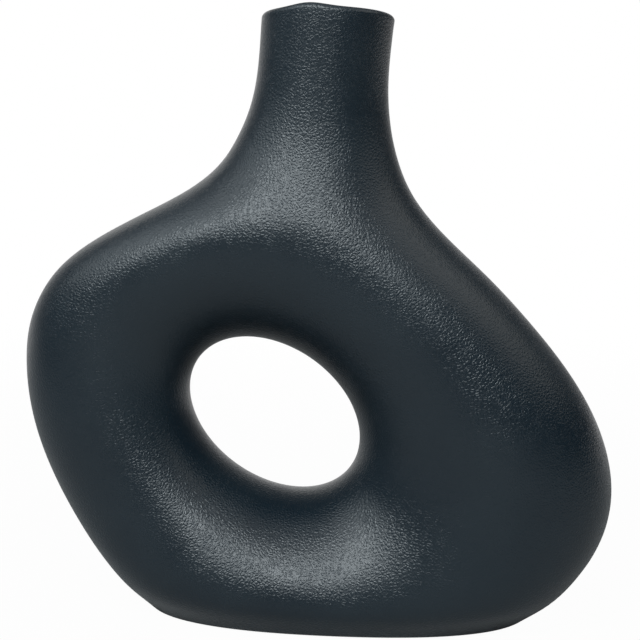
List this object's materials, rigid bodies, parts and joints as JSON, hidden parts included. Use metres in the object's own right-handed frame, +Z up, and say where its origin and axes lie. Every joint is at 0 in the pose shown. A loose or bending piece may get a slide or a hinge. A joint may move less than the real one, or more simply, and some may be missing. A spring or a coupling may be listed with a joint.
{
  "type": "donut vase",
  "caption": "Flattened hollow ceramic vase with an oval hole through its body and a short round neck, in matte black with a fine leather grain.",
  "frame": {"origin": "on the table under the middle of the vase, at the height of the pads' lower faces", "axes": "+Z up through the neck, +X to the right as the picture shows the vase, -Y towards the viewer, so Y is the vase's depth"},
  "size_m": [0.2458, 0.0826, 0.2511],
  "materials": {
    "matte_glaze": "matte blue-black glaze with a fine leather grain",
    "felt": "pressed felt"
  },
  "bodies": {
    "root": {"front_wall": "matte_glaze", "back_wall": "matte_glaze", "neck": "matte_glaze", "base": "matte_glaze", "pad_left_front": "felt", "pad_left_back": "felt", "pad_right_front": "felt", "pad_right_back": "felt"}
  },
  "joints": []
}
